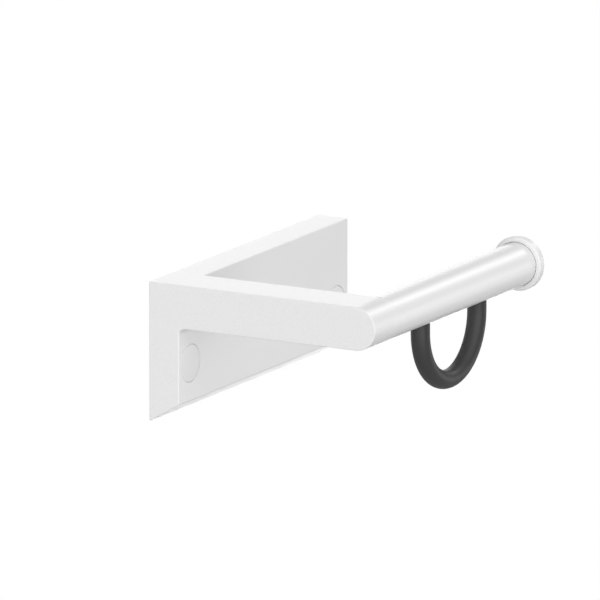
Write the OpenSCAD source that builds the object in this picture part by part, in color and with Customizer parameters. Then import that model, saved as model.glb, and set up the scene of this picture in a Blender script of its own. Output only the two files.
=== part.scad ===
// Wall-mounted paper roll holder with a rubber roll brake.
//
// One casting carries everything: a leg that lies on the wall, and an arm that
// stands out from the leg's end. A tubular bar is screwed to the arm's tip and
// runs parallel to the wall. A flanged plug closes the bar's free end, and a
// soft rubber loop hangs from the bar and drags on the inside of the roll.
//
// Frame: the origin is midway between the two wall screws, on the wall.
// +X runs along the bar to its free end, +Y into the wall, +Z up.

/* [Wall leg] */
// Length of the leg along the wall
leg_w = 125; // [110:1:160]
// Depth of the leg, from the wall to its front face
leg_d = 12.3; // [11:0.1:16]
// Height of the leg's front face
leg_front_h = 44.3; // [42:0.1:60]
// Height of the leg at the wall, where the bevelled underside ends
leg_back_h = 51.5; // [49:0.1:70]
// Wall thickness round the cored recesses in the back
cast_wall = 3; // [2:0.5:4]
// Number of recesses between the two screw pads
cell_count = 4; // [2:1:6]

/* [Arm] */
// Width of the arm, along the bar
arm_w = 18.5; // [16:0.5:24]
// Reach from the wall to the arm's round tip
arm_reach = 92.8; // [80:0.2:120]
// Rounding where the arm's underside meets the leg
corner_r = 2.5; // [1:0.5:4]
// Depth of the core that lightens the arm, from the wall
arm_core_depth = 70; // [30:1:75]

/* [Roll bar] */
// Outside diameter of the bar, which is also the height of the arm
bar_d = 16; // [16:0.5:20]
// Wall thickness of the bar's tube
bar_wall = 2; // [1.5:0.25:2.5]
// Free length of the bar between the arm and the end flange
bar_len = 101.3; // [95:0.1:130]

/* [End flange] */
// Diameter of the flange that keeps the roll on the bar
flange_d = 20; // [18:0.2:26]
// Thickness of the flange
flange_t = 3.4; // [2:0.2:5]
// Length of the flange's plug inside the bar
flange_plug_len = 12; // [6:1:14]

/* [Roll brake] */
// Diameter of the rubber loop's round section
cord_d = 7; // [5:0.1:8]
// Distance between the centres of the loop's two legs
loop_pitch = 42.2; // [36:0.2:50]
// Drop from the bar's centre to the centre of the loop's half circle
loop_drop = 11; // [9:0.1:16]
// Diameter of the necks that pass through the bar's wall
neck_d = 4.6; // [3.5:0.1:5]
// Diameter of the mushroom heads inside the bar
head_d = 8.4; // [7:0.2:9]
// Height of the mushroom heads
head_h = 3.2; // [2:0.2:4]

/* [Wall screws and caps] */
// Distance from each end of the leg to its screw
screw_inset = 8.7; // [8.5:0.1:12]
// Drop from the leg's top to the screws
screw_drop = 30.4; // [28:0.2:34]
// Clearance hole for the wall screw
screw_hole_d = 5.5; // [4.5:0.5:6.5]
// Counterbore for the wall screw's head
screw_seat_d = 11; // [10:0.5:12]
// Metal left between the screw's seat and the wall
screw_seat_t = 4.5; // [3:0.5:5]
// Diameter of the flush cap over each screw
cap_d = 13.8; // [13:0.1:14]
// Thickness of the cap's face
cap_t = 2; // [1.5:0.1:2.5]

/* [Bar fixing] */
// Thread size of the screw that holds the bar to the arm
fix_d = 6; // [5:1:6]
// Length of that screw under its head
fix_len = 28; // [24:1:32]
// Length of the plug pressed into the bar's fixed end
plug_len = 16; // [12:1:18]
// Diameter of the pin that stops the bar turning
pin_d = 2; // [1.5:0.5:2]
// Length of that pin
pin_len = 10; // [6:1:14]

/* [Hidden] */
$fn = 96;

coat_white = "#f0f0ee";
cap_white = "#f3f3f1";
rubber_grey = "#3b3c3e";
bright_steel = "#a8abad";
alloy_grey = "#c3c5c6";

over = 1;                                   // how far a cutter runs past a face
leg_left = -leg_w / 2;
leg_top = screw_drop;
arm_h = bar_d;
arm_right = leg_left + arm_w;
screw_x = leg_w / 2 - screw_inset;

bar_y = -(arm_reach - bar_d / 2);           // the bar's axis
bar_z = leg_top - bar_d / 2;
bar_bore_d = bar_d - 2 * bar_wall;
bar_end = arm_right + bar_len;
bar_mid = (arm_right + bar_end) / 2;

pocket_depth = leg_d - cast_wall;
pocket_r = 2;                               // corner radius of a recess
rib_t = 2.5;
pad_w = 2 * screw_inset + 4;                // solid pad round each wall screw
cells_w = leg_w - 2 * pad_w;
cell_w = (cells_w - (cell_count - 1) * rib_t) / cell_count;
arm_core_w = arm_w - 2 * cast_wall;
arm_core_h = arm_h - 2 * cast_wall;

cap_gap = 0.1;                              // groove round each cap
cap_edge = 0.3;                             // chamfer on the cap's rim
skirt_wall = 1.2;
skirt_len = 2.2;

fix_clear = 0.4;                            // play of the screw in the plug
fix_head_d = 10;
fix_head_h = fix_d;
fix_socket_af = 5;                          // across the flats of the hex socket
fix_socket_depth = 3;
pin_offset = 4.6;                           // from the bar's axis to the pin's
plug_chamfer = 0.5;

flange_edge_r = 0.8;
neck_play = 0.1;                            // between rubber and bar, all round
hex_corners = 6;

// Turns a drawing of (depth, height) into a solid that runs along +X.
module along_x(length) {
    rotate([90, 0, 90]) linear_extrude(length) children();
}

// Stands a solid that rises along +Z on its side, so that it runs along +X.
module to_x() {
    rotate([0, 90, 0]) children();
}

// Lays a solid that rises along +Z down, so that it runs out of the wall.
module to_room() {
    rotate([90, 0, 0]) children();
}

// Rectangle with round corners, centred.
module rounded_rect(w, h, r) {
    square([w - 2 * r, h], center = true);
    square([w, h - 2 * r], center = true);
    for (sx = [-1, 1], sz = [-1, 1])
        translate([sx * (w / 2 - r), sz * (h / 2 - r)]) circle(r);
}

// Side outline of the leg: (depth, height) below its top edge.
module leg_outline() {
    polygon([[0, 0], [-leg_d, 0], [-leg_d, -leg_front_h], [0, -leg_back_h]]);
}

// Side outline of the arm, with its half-round tip and the round inner corner.
module arm_outline() {
    translate([bar_y, -arm_h]) square([-bar_y, arm_h]);
    translate([bar_y, -arm_h / 2]) circle(d = arm_h);
    translate([-leg_d - corner_r, -arm_h - corner_r]) difference() {
        square(2 * corner_r);
        circle(corner_r);
    }
}

// Side outline of the cored space: parallel to the bevelled underside.
module core_outline() {
    slope = (leg_back_h - leg_front_h) / leg_d;
    floor_back = -leg_back_h + cast_wall * sqrt(1 + slope * slope);
    polygon([
        [over, -cast_wall],
        [-pocket_depth, -cast_wall],
        [-pocket_depth, floor_back + slope * pocket_depth],
        [over, floor_back - slope * over]
    ]);
}

// One recess in the back, centred on x and as wide as w, cut off below z_low.
module cored_cell(x, w, z_low) {
    z_high = leg_top - cast_wall;
    intersection() {
        translate([x - w / 2, 0, leg_top]) along_x(w) core_outline();
        translate([x, over, (z_low + z_high) / 2])
            to_room() linear_extrude(leg_d) rounded_rect(w, z_high - z_low, pocket_r);
    }
}

// The screw's clearance hole, head seat and cap seat, from the wall outwards.
module screw_path(x) {
    translate([x, over, 0]) to_room() cylinder(h = leg_d, d = screw_hole_d);
    translate([x, -screw_seat_t, 0]) to_room() cylinder(h = leg_d, d = screw_seat_d);
    translate([x, -leg_d + cap_t, 0]) to_room()
        cylinder(h = cap_t + over, d = cap_d + 2 * cap_gap);
}

module wall_bracket() {
    first_cell = -cells_w / 2 + cell_w / 2;
    end_cell_w = pad_w - cast_wall - rib_t;
    color(coat_white) difference() {
        union() {
            translate([leg_left, 0, leg_top]) along_x(leg_w) leg_outline();
            translate([leg_left, 0, leg_top]) along_x(arm_w) arm_outline();
        }
        for (i = [0 : cell_count - 1])
            cored_cell(first_cell + i * (cell_w + rib_t), cell_w, leg_top - leg_back_h);
        cored_cell(leg_w / 2 - cast_wall - end_cell_w / 2, end_cell_w,
                   screw_seat_d / 2 + cast_wall);
        translate([leg_left + arm_w / 2, over, bar_z]) to_room()
            linear_extrude(arm_core_depth + over)
                rounded_rect(arm_core_w, arm_core_h, pocket_r);
        screw_path(-screw_x);
        screw_path(screw_x);
        // threaded hole and pin hole in the arm's inner face
        translate([arm_right - (fix_len - plug_len), bar_y, bar_z]) to_x()
            cylinder(h = fix_len, d = fix_d);
        translate([arm_right - pin_len / 2, bar_y, bar_z + pin_offset]) to_x()
            cylinder(h = pin_len, d = pin_d);
    }
}

module roll_bar() {
    color(coat_white) difference() {
        translate([arm_right, bar_y, bar_z]) to_x() difference() {
            cylinder(h = bar_len, d = bar_d);
            translate([0, 0, -over]) cylinder(h = bar_len + 2 * over, d = bar_bore_d);
        }
        for (side = [-1, 1])
            translate([bar_mid + side * loop_pitch / 2, bar_y, bar_z - bar_d])
                cylinder(h = bar_d, d = neck_d + 2 * neck_play);
    }
}

module bar_plug() {
    r = bar_bore_d / 2;
    color(alloy_grey) translate([arm_right, bar_y, bar_z]) to_x() difference() {
        rotate_extrude() polygon([
            [0, 0], [r - plug_chamfer, 0], [r, plug_chamfer],
            [r, plug_len - plug_chamfer], [r - plug_chamfer, plug_len], [0, plug_len]
        ]);
        translate([0, 0, -over]) cylinder(h = plug_len + 2 * over, d = fix_d + fix_clear);
        translate([-pin_offset, 0, -over]) cylinder(h = pin_len / 2 + over, d = pin_d);
    }
}

module bar_fixing_screw() {
    color(bright_steel) translate([arm_right + plug_len, bar_y, bar_z]) to_x() difference() {
        union() {
            translate([0, 0, -fix_len]) cylinder(h = fix_len, d = fix_d);
            cylinder(h = fix_head_h, d = fix_head_d);
        }
        translate([0, 0, fix_head_h - fix_socket_depth])
            cylinder(h = fix_head_h, d = fix_socket_af / cos(180 / hex_corners),
                     $fn = hex_corners);
    }
}

module bar_locating_pin() {
    color(bright_steel)
        translate([arm_right - pin_len / 2, bar_y, bar_z + pin_offset]) to_x()
            cylinder(h = pin_len, d = pin_d);
}

module end_flange() {
    r = flange_d / 2;
    e = flange_edge_r;
    plug_r = bar_bore_d / 2;
    color(cap_white) translate([bar_end, bar_y, bar_z]) to_x() rotate_extrude() {
        square([r - e, flange_t]);
        translate([0, e]) square([r, flange_t - 2 * e]);
        for (z = [e, flange_t - e]) translate([r - e, z]) circle(e);
        translate([0, -flange_plug_len]) polygon([
            [0, 0], [plug_r - e, 0], [plug_r, e], [plug_r, flange_plug_len + e],
            [0, flange_plug_len + e]
        ]);
    }
}

// One end of the loop: the neck through the bar's wall and the head inside it.
module loop_root() {
    inside = bar_bore_d / 2 - neck_play;
    translate([0, 0, -bar_d / 2 - neck_play - over]) cylinder(h = bar_wall + 2 * over, d = neck_d);
    intersection() {
        translate([0, 0, -inside]) cylinder(h = head_h, d1 = head_d, d2 = neck_d);
        translate([-head_d, 0, 0]) to_x() cylinder(h = 2 * head_d, r = inside);
    }
}

module brake_loop() {
    color(rubber_grey) translate([bar_mid, bar_y, bar_z]) {
        difference() {
            union() {
                translate([0, 0, -loop_drop]) to_room() rotate([0, 0, 180])
                    rotate_extrude(angle = 180) translate([loop_pitch / 2, 0]) circle(d = cord_d);
                for (side = [-1, 1]) translate([side * loop_pitch / 2, 0, -loop_drop])
                    cylinder(h = loop_drop, d = cord_d);
            }
            translate([-loop_pitch, 0, 0]) to_x()
                cylinder(h = 2 * loop_pitch, d = bar_d + 2 * neck_play);
        }
        for (side = [-1, 1]) translate([side * loop_pitch / 2, 0, 0]) loop_root();
    }
}

// Flush cap: a thin face, and a skirt that is pressed into the screw's seat.
module screw_cap(x) {
    r = cap_d / 2;
    skirt_r = screw_seat_d / 2;
    color(cap_white) translate([x, -leg_d + cap_t, 0]) to_room() rotate_extrude() {
        polygon([[0, 0], [r, 0], [r, cap_t - cap_edge], [r - cap_edge, cap_t], [0, cap_t]]);
        translate([skirt_r - skirt_wall, -skirt_len]) square([skirt_wall, skirt_len]);
    }
}

module screw_cap_left() {
    screw_cap(-screw_x);
}

module screw_cap_right() {
    screw_cap(screw_x);
}

wall_bracket();
roll_bar();
bar_plug();
bar_fixing_screw();
bar_locating_pin();
end_flange();
brake_loop();
screw_cap_left();
screw_cap_right();
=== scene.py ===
# %% [markdown]
# # Wall-mounted paper roll holder
# A white casting screwed to the wall carries a round bar, and a rubber loop under the bar brakes the
# roll. The design already fixes every size, so this lesson only makes the surfaces that the eye meets:
# rounded casting edges, a turned flange, moulded rubber, and the coats of paint on top of them.

import math

import bmesh
import bpy
from mathutils import Matrix, Vector


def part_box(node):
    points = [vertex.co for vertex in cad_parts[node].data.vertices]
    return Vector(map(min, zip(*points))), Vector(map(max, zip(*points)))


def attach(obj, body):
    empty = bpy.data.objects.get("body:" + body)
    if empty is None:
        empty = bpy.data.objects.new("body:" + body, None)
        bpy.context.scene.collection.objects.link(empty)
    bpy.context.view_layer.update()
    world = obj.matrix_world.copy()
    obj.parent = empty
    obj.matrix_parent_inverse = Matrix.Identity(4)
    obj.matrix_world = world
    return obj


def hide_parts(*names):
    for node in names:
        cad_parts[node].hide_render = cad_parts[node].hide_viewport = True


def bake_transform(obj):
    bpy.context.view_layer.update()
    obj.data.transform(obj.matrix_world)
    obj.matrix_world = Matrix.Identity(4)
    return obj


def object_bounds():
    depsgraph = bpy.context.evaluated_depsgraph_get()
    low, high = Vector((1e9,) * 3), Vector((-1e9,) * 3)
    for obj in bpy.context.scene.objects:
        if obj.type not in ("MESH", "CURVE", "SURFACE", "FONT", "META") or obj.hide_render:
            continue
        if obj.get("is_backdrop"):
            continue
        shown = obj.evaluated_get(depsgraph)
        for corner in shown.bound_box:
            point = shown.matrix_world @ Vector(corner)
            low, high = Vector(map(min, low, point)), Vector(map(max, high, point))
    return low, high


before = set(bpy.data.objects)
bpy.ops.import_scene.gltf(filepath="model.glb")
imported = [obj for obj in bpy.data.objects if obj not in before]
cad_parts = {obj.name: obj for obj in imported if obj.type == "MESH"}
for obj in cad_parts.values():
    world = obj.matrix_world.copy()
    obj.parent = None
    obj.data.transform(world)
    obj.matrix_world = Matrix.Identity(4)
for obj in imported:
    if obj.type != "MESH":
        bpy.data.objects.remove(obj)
cad_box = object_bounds()

# %% [markdown]
# Everything is in metres. The pieces' places come from the boxes of the design's nodes, and only what a
# box can't tell, such as a rounding or a wall thickness, is given here in millimetres.

# %% Read the main places from the frame
MM = 0.001

cast_low, cast_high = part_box("wall_bracket")
bar_low, bar_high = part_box("roll_bar")
cap_low, cap_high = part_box("screw_cap_left")
flange_low, flange_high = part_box("end_flange")
loop_low, loop_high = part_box("brake_loop")

leg_front = cap_low.y                       # the caps are flush with the leg's front face
arm_right = bar_low.x                       # the bar starts at the arm's inner face
bar_r = (bar_high.z - bar_low.z) / 2
bar_axis = Vector((0, (bar_low.y + bar_high.y) / 2, (bar_low.z + bar_high.z) / 2))
loop_mid = (loop_low.x + loop_high.x) / 2

bar_wall = 2 * MM
bore_r = bar_r - bar_wall
print("bar radius in mm:", round(bar_r / MM, 2), "axis:", [round(v / MM, 2) for v in bar_axis])

# %% [markdown]
# ## Camera
# A small fitting is best shown from far away with a very long lens, so that upright edges stay upright
# and parallel ones parallel. An orthographic camera would do nearly the same, but a real lens keeps a
# trace of perspective. The lens follows from the distance and the width that is to be seen.

# %% Set up the camera
view_azimuth = math.radians(-60.87)
view_elevation = math.radians(12.925)
view_distance = 8.81                        # metres
view_width = 0.2161                         # how much of the object's depth plane fits in the frame
view_aim = Vector((-12.2, -34.06, 17.33)) * MM           # the point in the middle of the view

back = Vector((
    math.sin(view_azimuth) * math.cos(view_elevation),
    -math.cos(view_azimuth) * math.cos(view_elevation),
    math.sin(view_elevation),
))
camera_data = bpy.data.cameras.new("camera")
camera_data.sensor_width = 36
camera_data.lens = camera_data.sensor_width * view_distance / view_width
camera_data.clip_end = 50
camera = bpy.data.objects.new("camera", camera_data)
camera.location = view_aim + back * view_distance
camera.rotation_mode = "QUATERNION"
camera.rotation_quaternion = back.to_track_quat("Z", "Y")
bpy.context.collection.objects.link(camera)
bpy.context.scene.camera = camera
bpy.context.scene.view_settings.view_transform = "Standard"
print("lens in mm:", round(camera_data.lens))

# %% [markdown]
# ## Node and colour helpers
# Colours are written as the hex values that a paint chart gives and turned to linear light by one
# function. A second small function adds a node, sets it and links it, so a material reads as a list.

# %% Define the helpers for materials
def linear(hex_colour):
    """Linear RGBA of an sRGB hex colour."""
    channels = [int(hex_colour[i:i + 2], 16) / 255 for i in (1, 3, 5)]
    return [c / 12.92 if c <= 0.04045 else ((c + 0.055) / 1.055) ** 2.4 for c in channels] + [1]


def add(tree, kind, inputs=None, **settings):
    """Adds a node, makes its settings, and fills or links its inputs."""
    node = tree.nodes.new(kind)
    for name, value in settings.items():
        setattr(node, name, value)
    for name, value in (inputs or {}).items():
        if isinstance(value, bpy.types.NodeSocket):
            tree.links.new(value, node.inputs[name])
        else:
            node.inputs[name].default_value = value
    return node


def per_mm(size):
    """Texture scale, in features per metre, for a feature of that many millimetres."""
    return 1 / (size * MM)


def start_material(name):
    """An empty node material and its tree."""
    material = bpy.data.materials.new(name)
    material.use_nodes = True
    material.node_tree.nodes.clear()
    return material, material.node_tree


def end_material(tree, inputs):
    """Closes a material with one Principled shader."""
    shader = add(tree, "ShaderNodeBsdfPrincipled", inputs)
    add(tree, "ShaderNodeOutputMaterial", {"Surface": shader.outputs["BSDF"]})


# %% [markdown]
# ## Studio
# White things need an uneven light, or they have no shape. Area lamps would do, but each would have to
# be kept out of sight. So the room itself is the lamp: it is dim and white, and each soft light is a
# round glow painted on it. The narrow glows are placed where the bar mirrors them into the camera, and
# they draw the long bands of light on it. The camera itself sees plain white.

# %% Light the room
def bar_side(degrees):
    """Direction whose mirror image in the bar reaches the camera, at that angle above the front."""
    turn = math.radians(degrees)
    along = -back.x
    out = math.sqrt(1 - along * along)
    return Vector((along, -out * math.cos(turn), out * math.sin(turn)))


def add_lamp(tree, place, total, direction, spread, level):
    """Adds a soft glow that falls to half its level at spread degrees from its direction."""
    focus = math.log(2) / (1 - math.cos(math.radians(spread)))
    facing = add(
        tree, "ShaderNodeVectorMath", {0: place, 1: Vector(direction).normalized()},
        operation="DOT_PRODUCT",
    )
    fall = add(
        tree, "ShaderNodeMath", {0: facing.outputs["Value"], 1: focus, 2: math.log(level) - focus},
        operation="MULTIPLY_ADD",
    )
    glow = add(tree, "ShaderNodeMath", {0: fall.outputs[0]}, operation="EXPONENT")
    return add(tree, "ShaderNodeMath", {0: glow.outputs[0], 1: total}, operation="ADD").outputs[0]


room_level = 0.12                           # how bright the walls are where no lamp reaches
lamps = [                                   # direction, spread in degrees, level
    ((-0.9, -0.25, 0.1), 40, 1.39),         # a white wall on the left
    ((0, -0.1, 1), 35, 0.44),               # the ceiling
    ((-0.2, -0.7, 0.7), 28, 0.76),          # high in front
    ((-0.47, -0.85, -0.22), 14, 2.5),       # beside the camera, mirrored by the upright edges
    ((0.85, 0.47, 0.22), 12, 1.88),         # the backdrop, seen in the flat tops
    ((0.85, 0.44, -0.3), 10, 4.3),          # the foot of the backdrop, seen in the bevel
    (bar_side(66), 7, 3.73),                # from here on, the bands on the bar from top to bottom
    (bar_side(80), 7, 1.56),
    (bar_side(-6), 9, 2.11),
    (bar_side(-48), 9, 1.49),
]
world = bpy.data.worlds.new("studio")
world.use_nodes = True
bpy.context.scene.world = world
tree = world.node_tree
tree.nodes.clear()
place = add(tree, "ShaderNodeTexCoord").outputs["Generated"]
total = add(tree, "ShaderNodeValue").outputs[0]
total.default_value = room_level
for direction, spread, level in lamps:
    total = add_lamp(tree, place, total, direction, spread, level)
room = add(tree, "ShaderNodeBackground", {"Strength": total})
plain = add(tree, "ShaderNodeBackground", {"Strength": 1})
for background in (room, plain):
    background.inputs["Color"].default_value = linear("#ffffff")
rays = add(tree, "ShaderNodeLightPath")
seen = add(tree, "ShaderNodeMixShader", {
    0: rays.outputs["Is Camera Ray"], 1: room.outputs[0], 2: plain.outputs[0],
})
add(tree, "ShaderNodeOutputWorld", {"Surface": seen.outputs[0]})
print("lamps:", len(lamps))

# %% [markdown]
# The holder hangs on a wall, so the floor lies well below it and only sends soft light up. It is a
# plain pale disc, and clear when seen from underneath, so that it never hides the holder.

# %% Lay the floor
floor_drop = 0.7                            # metres
floor_radius = 2.0
floor_segments = 96
floor_bm = bmesh.new()
bmesh.ops.create_circle(
    floor_bm, cap_ends=True, segments=floor_segments, radius=floor_radius,
    matrix=Matrix.Translation((0, 0, cast_low.z - floor_drop)),
)
floor_mesh = bpy.data.meshes.new("floor")
floor_bm.to_mesh(floor_mesh)
floor_bm.free()
floor = bpy.data.objects.new("floor", floor_mesh)
bpy.context.collection.objects.link(floor)
floor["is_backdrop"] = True

floor_material, tree = start_material("pale_floor")
pale = add(tree, "ShaderNodeBsdfDiffuse", {"Color": linear("#cccccc")})
clear = add(tree, "ShaderNodeBsdfTransparent")
underside = add(tree, "ShaderNodeNewGeometry").outputs["Backfacing"]
one_sided = add(tree, "ShaderNodeMixShader", {0: underside, 1: pale.outputs[0], 2: clear.outputs[0]})
add(tree, "ShaderNodeOutputMaterial", {"Surface": one_sided.outputs[0]})
floor.data.materials.append(floor_material)
print("floor", round(floor_drop / MM), "mm below the casting, radius in m:", floor_radius)

# %% [markdown]
# ## Helpers for solid pieces
# Two ways of shaping cover this object. Turned pieces start as half a section whose corners are
# rounded and which is then spun round an axis. Everything else is an outline that is extruded. Holes
# are shapes of the same two kinds, taken out with a boolean modifier that is applied at once.

# %% Define the helpers for pieces
weld = 1e-6                                 # metres; points closer than this are one point
large_round = 96                            # steps in a full turn
small_round = 64
hole_round = 48


def round_corners(bm, verts, radius, segments):
    """Rounds corners of a flat outline."""
    bmesh.ops.bevel(
        bm, geom=verts, affect="VERTICES", offset=radius, offset_type="OFFSET",
        segments=segments, profile=0.5, material=-1, clamp_overlap=False,
    )


def tidy(bm):
    """Welds what coincides and points every face outwards."""
    bmesh.ops.remove_doubles(bm, verts=bm.verts[:], dist=weld)
    bmesh.ops.recalc_face_normals(bm, faces=bm.faces[:])


def turned(section, centre, axis, rounds=(), steps=large_round):
    """Spins half a section round an axis. The section's corners are (along, radius), and rounds lists
    (radius, corner numbers) to round off first."""
    bm = bmesh.new()
    axis = Vector(axis)
    side = axis.orthogonal().normalized()
    verts = [bm.verts.new(centre + axis * along + side * radius) for along, radius in section]
    bm.faces.new(verts)
    for radius, corners in rounds:
        round_corners(bm, [verts[i] for i in corners], radius, segments=5)
    bmesh.ops.delete(bm, geom=bm.faces[:], context="FACES_ONLY")
    on_axis = [e for e in bm.edges if all((v.co - centre).dot(side) < 1e-7 for v in e.verts)]
    bmesh.ops.delete(bm, geom=on_axis, context="EDGES_FACES")
    bmesh.ops.spin(
        bm, geom=bm.verts[:] + bm.edges[:], cent=centre, axis=axis,
        angle=2 * math.pi, steps=steps, use_merge=True,
    )
    tidy(bm)
    return bm


def to_object(name, bm, crease=40):
    """Makes a mesh object from a bmesh, smooth but for edges sharper than crease degrees."""
    mesh = bpy.data.meshes.new(name)
    bm.to_mesh(mesh)
    bm.free()
    mesh.shade_smooth()
    mesh.set_sharp_from_angle(angle=math.radians(crease))
    piece = bpy.data.objects.new(name, mesh)
    bpy.context.collection.objects.link(piece)
    print(name, len(mesh.polygons), "faces")
    return piece


def cut(piece, cutters):
    """Takes the cutters' shapes out of a piece."""
    joined = bmesh.new()
    for bm in cutters:
        part = bpy.data.meshes.new("cutter")
        bm.to_mesh(part)
        bm.free()
        joined.from_mesh(part)
        bpy.data.meshes.remove(part)
    tool = to_object("cutter", joined)
    boolean = piece.modifiers.new("cut", "BOOLEAN")
    boolean.solver = "EXACT"
    boolean.object = tool
    bpy.context.view_layer.update()
    result = bpy.data.meshes.new_from_object(piece.evaluated_get(bpy.context.evaluated_depsgraph_get()))
    piece.modifiers.clear()
    piece.data = result
    bpy.data.objects.remove(tool)


# %% [markdown]
# ## The casting
# The leg and the arm are one aluminium casting. It could be two boxes and a cylinder joined by
# booleans, but that leaves seams where the real one has none. Its side view is a single outline, so it
# is drawn once, given its round tip and inner corner, and extruded to the arm's width. Only the leg's
# share of that end face is then extruded on.

# %% Extrude the casting's outer shape
front_height = 44.3 * MM
inner_corner = 2.5 * MM
edge_fillet = 0.4 * MM
tip_segments = 24
corner_segments = 8


def vertex_near(verts, y, z):
    """The vertex of the arm's inner end that lies at that depth and height."""
    return min(verts, key=lambda v: (v.co - Vector((arm_right, y, z))).length)


def casting_shape():
    """The casting's outside: the arm's slab, with the rest of the leg extruded from its end."""
    arm_low = bar_axis.z - bar_r
    corners = [
        (0, cast_high.z), (leg_front, cast_high.z), (cast_low.y, cast_high.z), (cast_low.y, arm_low),
        (leg_front, arm_low), (leg_front, cast_high.z - front_height), (0, cast_low.z),
    ]
    bm = bmesh.new()
    verts = [bm.verts.new((cast_low.x, y, z)) for y, z in corners]
    bm.faces.new(verts)
    round_corners(bm, verts[2:4], bar_r, tip_segments)
    round_corners(bm, [verts[4]], inner_corner, corner_segments)
    bmesh.ops.remove_doubles(bm, verts=bm.verts[:], dist=weld)

    slab = bmesh.ops.extrude_face_region(bm, geom=bm.faces[:])["geom"]
    moved = [v for v in slab if isinstance(v, bmesh.types.BMVert)]
    bmesh.ops.translate(bm, verts=moved, vec=(arm_right - cast_low.x, 0, 0))

    seam = [vertex_near(moved, leg_front, z) for z in (cast_high.z, arm_low - inner_corner)]
    bmesh.ops.connect_verts(bm, verts=seam)
    leg_end = next(
        f for f in seam[0].link_faces
        if seam[1] in f.verts and f.calc_center_median().y > leg_front and abs(f.normal.x) > 0.9
    )
    leg = bmesh.ops.extrude_face_region(bm, geom=[leg_end])["geom"]
    moved = [v for v in leg if isinstance(v, bmesh.types.BMVert)]
    bmesh.ops.translate(bm, verts=moved, vec=(cast_high.x - arm_right, 0, 0))
    bmesh.ops.delete(bm, geom=[leg_end], context="FACES_ONLY")
    tidy(bm)
    bmesh.ops.dissolve_limit(bm, angle_limit=math.radians(0.5), verts=bm.verts[:], edges=bm.edges[:])
    return bm


casting_bm = casting_shape()
volume = casting_bm.calc_volume() / (10 * MM) ** 3
print("casting:", len(casting_bm.faces), "faces, volume in cm3:", round(volume, 1))

# %% [markdown]
# A powder coat won't hold on a sharp edge, so the casting's outer edges are filleted, and each fillet
# mirrors a thin line of light. A bevel of every sharp convex edge makes them in one go. The round edge
# that the bar continues stays sharp, because paint and metal run on there without a seam.

# %% Fillet the outer edges, but not where the bar continues the arm
def meets_the_bar(edge):
    """Whether an edge lies in the face that the bar is screwed against."""
    middle = (edge.verts[0].co + edge.verts[1].co) / 2
    return abs(middle.x - arm_right) < weld and middle.y < bar_axis.y + bar_r / 2


outer = [
    e for e in casting_bm.edges
    if e.is_manifold and e.is_convex and e.calc_face_angle() > math.radians(30) and not meets_the_bar(e)
]
bmesh.ops.bevel(
    casting_bm, geom=outer, affect="EDGES", offset=edge_fillet, offset_type="OFFSET",
    segments=4, profile=0.5, material=-1, clamp_overlap=False,
)
tidy(casting_bm)
casting = to_object("bracket_casting", casting_bm)

# %% [markdown]
# A casting this thick is cored from the back, to save metal and to keep the front from sinking. The
# cores are boxes with rounded corners, and their lower end follows the leg's bevelled underside. The
# wall screws' stepped holes are turned shapes, and so are the two holes in the arm's inner face, for
# the screw and the pin that hold the bar. The cores could be inset and pushed in face by face, but the
# slope would bend them. So all are taken out of the casting with one boolean cut.

# %% Core the back and bore the screw holes
cast_wall = 3 * MM
core_corner = 2 * MM
rib = 2.5 * MM                              # metal between two cores
arm_core_depth = 70 * MM
overshoot = 1 * MM                          # how far a cutter stands out of what it cuts
cell_count = 4
screw_x = (cap_low.x + cap_high.x) / 2
screw_inset = screw_x - cast_low.x
pad_margin = 4 * MM
pad = 2 * screw_inset + pad_margin          # solid metal round each screw
slope = (cast_high.z - cast_low.z - front_height) / -leg_front


def core(x_low, x_high, z_low, z_high, depth):
    """A box with rounded corners that reaches in from the wall."""
    bm = bmesh.new()
    size = Vector((x_high - x_low, depth + overshoot, z_high - z_low))
    middle = Vector(((x_low + x_high) / 2, (overshoot - depth) / 2, (z_low + z_high) / 2))
    bmesh.ops.create_cube(bm, size=1, matrix=Matrix.Translation(middle) @ Matrix.Diagonal(size).to_4x4())
    inwards = [e for e in bm.edges if abs((e.verts[0].co - e.verts[1].co).y) > depth / 2]
    bmesh.ops.bevel(
        bm, geom=inwards, affect="EDGES", offset=core_corner, offset_type="OFFSET",
        segments=6, profile=0.5, material=-1,
    )
    return bm


def sloping_core(x_low, x_high, z_low):
    """A core of the leg, cut off parallel to the bevelled underside."""
    bm = core(x_low, x_high, z_low, cast_high.z - cast_wall, -leg_front - cast_wall)
    foot = Vector((0, 0, cast_low.z + cast_wall * math.sqrt(1 + slope * slope)))
    bmesh.ops.bisect_plane(
        bm, geom=bm.verts[:] + bm.edges[:] + bm.faces[:], plane_co=foot, plane_no=(0, slope, 1),
        clear_inner=True,
    )
    bmesh.ops.holes_fill(bm, edges=[e for e in bm.edges if e.is_boundary], sides=0)
    tidy(bm)
    return bm


screw_hole_r = 2.75 * MM
screw_seat_r = 5.5 * MM
screw_seat_left = 4.5 * MM                  # metal between the screw's head and the wall
fix_r = 3 * MM                              # the screw that holds the bar
cap_t = 2 * MM
cap_gap = 0.1 * MM
cap_r = (cap_high.x - cap_low.x) / 2


def screw_path(x):
    """The stepped hole for one wall screw, from behind the wall to in front of the leg."""
    seat = cap_r + cap_gap
    section = [
        (overshoot, 0), (overshoot, screw_hole_r), (-screw_seat_left, screw_hole_r),
        (-screw_seat_left, screw_seat_r), (leg_front + cap_t, screw_seat_r),
        (leg_front + cap_t, seat), (leg_front - overshoot, seat), (leg_front - overshoot, 0),
    ]
    return turned(section, Vector((x, 0, 0)), (0, 1, 0), steps=small_round)


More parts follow.
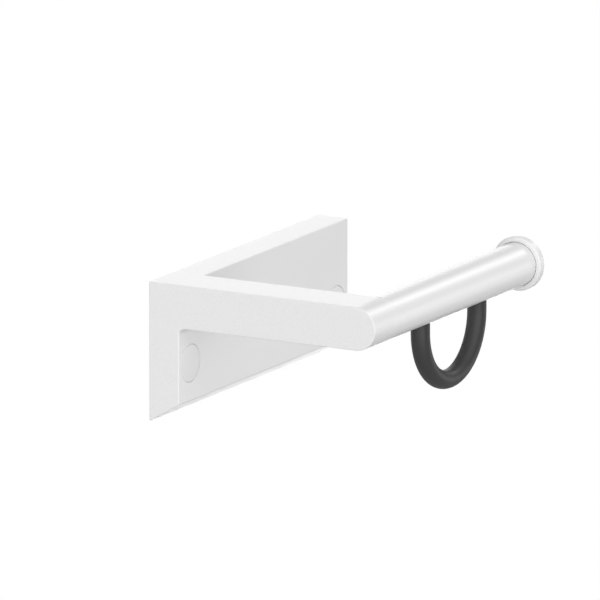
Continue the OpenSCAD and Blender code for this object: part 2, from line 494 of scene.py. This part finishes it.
def arm_hole(node):
    """The hole that a node lying along the bar fills in the arm."""
    low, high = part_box(node)
    radius = (high.y - low.y) / 2
    if node == "bar_fixing_screw":
        radius = fix_r                      # its box is as wide as its head
    section = [(low.x, 0), (low.x, radius), (arm_right + overshoot, radius), (arm_right + overshoot, 0)]
    middle = (low + high) / 2
    return turned(section, Vector((0, middle.y, middle.z)), (1, 0, 0), steps=hole_round)


cells_w = (cast_high.x - cast_low.x) - 2 * pad
cell_w = (cells_w - (cell_count - 1) * rib) / cell_count
cell_lows = [-cells_w / 2 + i * (cell_w + rib) for i in range(cell_count)]
cores = [sloping_core(x, x + cell_w, cast_low.z) for x in cell_lows]
cores.append(sloping_core(cast_high.x - pad + rib, cast_high.x - cast_wall, screw_seat_r + cast_wall))
cores.append(core(
    cast_low.x + cast_wall, arm_right - cast_wall,
    bar_axis.z - bar_r + cast_wall, bar_axis.z + bar_r - cast_wall, arm_core_depth,
))
holes = [screw_path(x) for x in (screw_x, -screw_x)]
holes += [arm_hole(node) for node in ("bar_fixing_screw", "bar_locating_pin")]
cut(casting, cores + holes)
print("cores:", len(cores), "holes:", len(holes), "cell width in mm:", round(cell_w / MM, 2))

# %% [markdown]
# Cut holes have razor edges, and on the real casting they are broken with a file or a brush before the
# coat goes on. So their rims get a bevel too, a smaller one. Weighted normals then keep the flat faces
# flat beside all these fillets.

# %% Break the rims of the cut holes
rim_break = 0.15 * MM
rim_bm = bmesh.new()
rim_bm.from_mesh(casting.data)
tidy(rim_bm)
rims = [
    e for e in rim_bm.edges
    if e.is_manifold and e.is_convex and e.calc_face_angle() > math.radians(50) and not meets_the_bar(e)
]
bmesh.ops.bevel(
    rim_bm, geom=rims, affect="EDGES", offset=rim_break, offset_type="OFFSET",
    segments=2, profile=0.5, material=-1, clamp_overlap=False,
)
tidy(rim_bm)
rim_bm.to_mesh(casting.data)
rim_bm.free()
casting.data.shade_smooth()
casting.data.set_sharp_from_angle(angle=math.radians(40))
weights = casting.modifiers.new("flat_faces_stay_flat", "WEIGHTED_NORMAL")
weights.keep_sharp = True
print("rims broken:", len(rims))

# %% [markdown]
# ## The bar
# The bar is a drawn tube. Two cylinders and a boolean would make one, but a ring-shaped section spun
# round the bar's axis gives its outer and inner wall at once. Two small holes drilled underneath take
# the necks of the brake loop.

# %% Turn the tube and drill it
neck_r = 2.3 * MM
neck_play = 0.1 * MM
tube_steps = 128                            # the bar shows the finest bands of light
head_r = 4.2 * MM                           # the mushroom heads are the loop's widest part
loop_root = (loop_high.x - loop_low.x) / 2 - head_r      # from the loop's middle to a leg's


def tube(inner, outer, low, high, hole):
    """A tube along the bar's axis with a hole underneath for each leg of the loop."""
    start = Vector((0, bar_axis.y, bar_axis.z))
    ring = [(low, inner), (low, outer), (high, outer), (high, inner)]
    piece = to_object("tube", turned(ring, start, (1, 0, 0), steps=tube_steps))
    drills = []
    for side in (-1, 1):
        drill = bmesh.new()
        spot = Vector((loop_mid + side * loop_root, bar_axis.y, bar_axis.z - outer))
        bmesh.ops.create_cone(
            drill, cap_ends=True, segments=hole_round, radius1=hole, radius2=hole,
            depth=2 * (outer - inner), matrix=Matrix.Translation(spot),
        )
        drills.append(drill)
    cut(piece, drills)
    return piece


bar = tube(bore_r, bar_r, bar_low.x, bar_high.x, neck_r + neck_play)
bar.name = "bar_tube"
print("bar length in mm:", round((bar_high.x - bar_low.x) / MM, 1))

# %% [markdown]
# ## The end flange
# A moulded plug with a flange keeps the roll on the bar. It is turned from half a section, and its
# flange has the round edges that a mould gives. A fine groove runs round the tube's end, so that the
# flange can seat on the tube although the paint makes the tube a little thicker there. It is what draws
# the dark line between the two.

# %% Turn the flange
flange_r = (flange_high.z - flange_low.z) / 2
flange_edge = 0.8 * MM
flange_start = bar_high.x
groove_width = 0.3 * MM
groove_depth = 0.8 * MM
groove_r = bar_r + groove_width
groove_end = flange_start + groove_depth
flange_section = [
    (flange_low.x, 0), (flange_low.x, bore_r), (flange_start, bore_r),
    (flange_start, bar_r), (groove_end, bar_r), (groove_end, groove_r), (flange_start, groove_r),
    (flange_start, flange_r), (flange_high.x, flange_r), (flange_high.x, 0),
]
flange = to_object("flange_plug", turned(
    flange_section, Vector((0, bar_axis.y, bar_axis.z)), (1, 0, 0), rounds=[(flange_edge, (1, 7, 8))],
))
print("flange across in mm:", round(2 * flange_r / MM, 1))

# %% [markdown]
# ## The screw caps
# A cap is a thin disc with a skirt that presses into the screw's seat. The gap round it is only a
# tenth of a millimetre, and it reads as a fine ring on the front of the leg. The ring could be drawn in
# the paint, but a real gap catches light and shade from every side. Both caps are turned alike.

# %% Turn the two caps
skirt_wall = 1.2 * MM
skirt_end = cap_high.y
cap_edge = 0.3 * MM


def screw_cap(name, x):
    """One cap over the wall screw at x, from its face back to its skirt's end."""
    disc_back = leg_front + cap_t
    section = [
        (leg_front, 0), (leg_front, cap_r), (disc_back, cap_r), (disc_back, screw_seat_r),
        (skirt_end, screw_seat_r), (skirt_end, screw_seat_r - skirt_wall),
        (disc_back, screw_seat_r - skirt_wall), (disc_back, 0),
    ]
    return to_object(name, turned(
        section, Vector((x, 0, 0)), (0, 1, 0), rounds=[(cap_edge, (1,))], steps=small_round,
    ))


cap_left = screw_cap("cap_disc_left", screw_x)
cap_right = screw_cap("cap_disc_right", -screw_x)
print("caps across in mm:", round(2 * cap_r / MM, 1))

# %% [markdown]
# ## The brake loop
# The loop is one rubber moulding. It could be a curve with a round bevel, but its ends have to grow
# into necks and heads. So a circle is spun half round for the bow, its two open ends are extruded up to
# the bar, and each ends in a mushroom head inside the tube. A tube a touch larger than the bar is then
# cut away, which leaves the saddle shoulders and the necks.

# %% Spin the bow and raise its legs
cord_r = 3.5 * MM
bow_r = loop_root
bow_centre = Vector((loop_mid, bar_axis.y, loop_low.z + cord_r + bow_r))
head_h = 3.2 * MM
inside = bore_r - neck_play
shoulder = 0.4 * MM                         # how far below the bore the legs end
leg_top = bar_axis.z - bore_r - shoulder
leg_rings = 5
cord_segments = 40
bow_steps = 72
head_rings = [                              # height and radius
    (leg_top + shoulder / 2, head_r),
    (bar_axis.z - inside, head_r),
    (bar_axis.z - inside + head_h, neck_r),
]


def raise_ring(bm, edges, height, radius_scale, centre):
    """Extrudes an open ring straight up to a height and scales it about its own centre."""
    new = bmesh.ops.extrude_edge_only(bm, edges=edges)["geom"]
    verts = [v for v in new if isinstance(v, bmesh.types.BMVert)]
    for v in verts:
        v.co.z = height
    bmesh.ops.scale(
        bm, verts=verts, vec=(radius_scale, radius_scale, 1),
        space=Matrix.Translation((-centre, -bar_axis.y, 0)),
    )
    return [e for e in new if isinstance(e, bmesh.types.BMEdge)]


def loop_shape():
    """The whole moulding, before the bar's wall is cut out of it."""
    bm = bmesh.new()
    start = Matrix.Translation(bow_centre + Vector((bow_r, 0, 0)))
    ring = bmesh.ops.create_circle(
        bm, cap_ends=False, segments=cord_segments, radius=cord_r, matrix=start,
    )["verts"]
    bmesh.ops.spin(
        bm, geom=ring + bm.edges[:], cent=bow_centre, axis=(0, 1, 0), angle=math.pi, steps=bow_steps,
    )
    for side in (-1, 1):
        x = bow_centre.x + side * bow_r
        edges = [e for e in bm.edges if e.is_boundary and (e.verts[0].co.x - bow_centre.x) * side > 0]
        for i in range(leg_rings):
            height = bow_centre.z + (leg_top - bow_centre.z) * (i + 1) / leg_rings
            edges = raise_ring(bm, edges, height, 1, x)
        radius = cord_r
        for height, next_radius in head_rings:
            edges = raise_ring(bm, edges, height, next_radius / radius, x)
            radius = next_radius
        bmesh.ops.holes_fill(bm, edges=edges, sides=0)
    tidy(bm)
    return bm


loop = to_object("rubber_loop", loop_shape())
saddle = tube(inside, bar_r + neck_play, bar_low.x, bar_high.x, neck_r)
saddle_bm = bmesh.new()
saddle_bm.from_mesh(saddle.data)
bpy.data.objects.remove(saddle)
cut(loop, [saddle_bm])
print("loop height in mm:", round((loop_high.z - loop_low.z) / MM, 1))

# %% [markdown]
# ## Finishes
# ### Powder coat
# Casting and tube are sprayed with polyester powder and baked. The coat is a clear-cut dielectric: IOR
# 1.5, no metal, satin. It flows into a fine orange peel, deeper on the rough skin of the casting than on
# the smooth drawn tube. The humps tilt the surface a little (bump), and where the coat lies thicker it
# is a shade whiter (colour), which together give the faint mottling of a sprayed white.

# %% Powder coat for the casting and the bar
coat_peel = 0.7                             # mm between the humps of the orange peel
coat_speck = 0.3                            # mm between grains, coarser than real ones so that they show
speck_share = 0.35                          # of the relief, beside the orange peel
shade_range = (0.35, 0.65)                  # where the thin coat's colour ends and the thick one's starts


def powder_coat(name, thin, thick, rough, height):
    """A coat that runs from its thin to its thick colour, with a relief of that height in mm."""
    material, tree = start_material(name)
    place = add(tree, "ShaderNodeTexCoord").outputs["Object"]
    peel = add(tree, "ShaderNodeTexNoise", {"Vector": place, "Scale": per_mm(coat_peel), "Detail": 3})
    speck = add(tree, "ShaderNodeTexNoise", {"Vector": place, "Scale": per_mm(coat_speck), "Detail": 1})
    relief = add(
        tree, "ShaderNodeMath", {0: speck.outputs["Fac"], 1: speck_share, 2: peel.outputs["Fac"]},
        operation="MULTIPLY_ADD",
    )
    bump = add(tree, "ShaderNodeBump", {
        "Height": relief.outputs[0], "Strength": 1, "Distance": height * MM,
    })
    shade = add(tree, "ShaderNodeValToRGB", {"Fac": speck.outputs["Fac"]})
    for stop, position, colour in zip(shade.color_ramp.elements, shade_range, (thin, thick)):
        stop.position = position
        stop.color = linear(colour)
    end_material(tree, {
        "Base Color": shade.outputs["Color"], "Roughness": rough, "IOR": 1.5,
        "Normal": bump.outputs["Normal"],
    })
    return material


casting_coat = powder_coat("fine_powder_coat_white", "#eeeeee", "#f5f5f5", 0.28, 0.012)
bar_coat = powder_coat("smooth_powder_coat_white", "#f0f0f0", "#f3f3f3", 0.26, 0.002)
print("coats:", casting_coat.name, "and", bar_coat.name)

# %% [markdown]
# ### Moulded polyamide
# Flange and caps are moulded in white polyamide. It is a little less glossy than the coat, and the
# mould's fine grain breaks up its reflections, so it gets a low bump and no colour change.

# %% Polyamide for the flange and the caps
def polyamide():
    """White moulded polyamide with a fine mould grain."""
    material, tree = start_material("moulded_polyamide_white")
    place = add(tree, "ShaderNodeTexCoord").outputs["Object"]
    grain = add(tree, "ShaderNodeTexNoise", {"Vector": place, "Scale": per_mm(0.3), "Detail": 2})
    bump = add(tree, "ShaderNodeBump", {
        "Height": grain.outputs["Fac"], "Strength": 1, "Distance": 0.003 * MM,
    })
    end_material(tree, {
        "Base Color": linear("#f1f1f1"), "Roughness": 0.3, "IOR": 1.53, "Normal": bump.outputs["Normal"],
    })
    return material


cap_plastic = polyamide()
print("plastic:", cap_plastic.name)

# %% [markdown]
# ### Moulded rubber
# The brake is dark grey EPDM rubber, satin from a fine-blasted mould. Rubber has a broad soft highlight
# and is never quite even, so its roughness varies slightly.

# %% Rubber for the brake loop
def rubber():
    """Dark grey rubber whose gloss clouds over softly."""
    material, tree = start_material("moulded_rubber_grey")
    place = add(tree, "ShaderNodeTexCoord").outputs["Object"]
    cloud = add(tree, "ShaderNodeTexNoise", {"Vector": place, "Scale": per_mm(4), "Detail": 3})
    grain = add(tree, "ShaderNodeTexNoise", {"Vector": place, "Scale": per_mm(0.25), "Detail": 2})
    rough = add(tree, "ShaderNodeMapRange", {
        "Value": cloud.outputs["Fac"], "To Min": 0.42, "To Max": 0.52,
    })
    bump = add(tree, "ShaderNodeBump", {
        "Height": grain.outputs["Fac"], "Strength": 1, "Distance": 0.004 * MM,
    })
    end_material(tree, {
        "Base Color": linear("#343434"), "Roughness": rough.outputs["Result"], "IOR": 1.52,
        "Normal": bump.outputs["Normal"],
    })
    return material


brake_rubber = rubber()
print("rubber:", brake_rubber.name)

# %% [markdown]
# ### The hidden metal
# The plug is turned aluminium, the screw and the pin are zinc-plated steel. They only show in a cut-away
# or an exploded view. Fine rings from the lathe tool run round the bar's axis. Real ones lie 0.1 to 0.2
# mm apart, and these are drawn coarser, so that they show.

# %% Turned metal for the plug, the screw and the pin
wave_rate = 20                              # radians that a wave node turns per unit, at a scale of 1


def turned_metal(name, colour, rough, ring):
    """Bare metal with tool rings that many mm apart."""
    material, tree = start_material(name)
    place = add(tree, "ShaderNodeTexCoord").outputs["Object"]
    rings = add(
        tree, "ShaderNodeTexWave",
        {"Vector": place, "Scale": per_mm(ring) * 2 * math.pi / wave_rate, "Distortion": 0.4},
        wave_type="BANDS", bands_direction="X",
    )
    bump = add(tree, "ShaderNodeBump", {
        "Height": rings.outputs["Fac"], "Strength": 1, "Distance": 0.004 * MM,
    })
    end_material(tree, {
        "Base Color": linear(colour), "Metallic": 1, "Roughness": rough, "Normal": bump.outputs["Normal"],
    })
    return material


plug_metal = turned_metal("turned_aluminium", "#c6c8ca", 0.32, 0.3)
screw_metal = turned_metal("zinc_plated_steel", "#a9abad", 0.36, 0.5)
print("metals:", plug_metal.name, "and", screw_metal.name)

# %% [markdown]
# ## Dress and hand over
# Each new piece stands for one node of the design, and all but the loop ride on the bracket's body. The
# hidden plug, screw and pin need no new shape, so they stay the design's own and only get a better
# finish.

# %% Give every piece its finish, and all but the loop the bracket's body
dressed = [
    (casting, "wall_bracket", casting_coat, "powder_coated_casting"),
    (bar, "roll_bar", bar_coat, "powder_coated_bar"),
    (flange, "end_flange", cap_plastic, "white_plastic"),
    (cap_left, "screw_cap_left", cap_plastic, "white_plastic"),
    (cap_right, "screw_cap_right", cap_plastic, "white_plastic"),
    (loop, "brake_loop", brake_rubber, "brake_rubber"),
]
for piece, node, material, slot in dressed:
    piece.data.materials.clear()
    piece.data.materials.append(material)
    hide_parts(node)
    if piece is not loop:
        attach(piece, "bracket")

for node, material in (
    ("bar_plug", plug_metal), ("bar_fixing_screw", screw_metal), ("bar_locating_pin", screw_metal),
):
    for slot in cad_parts[node].material_slots:
        slot.material = material
print("new pieces:", len(dressed))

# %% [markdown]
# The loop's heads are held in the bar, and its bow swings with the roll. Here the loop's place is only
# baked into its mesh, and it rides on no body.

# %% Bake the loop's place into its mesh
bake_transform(loop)

# %% [markdown]
# Both boxes are printed, so that they can be compared.

# %% Print the looks' box and the design's
looks_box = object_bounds()
for title, box in (("design", cad_box), ("looks", looks_box)):
    print(title, "box in mm:", [[round(v / MM, 1) for v in corner] for corner in box])
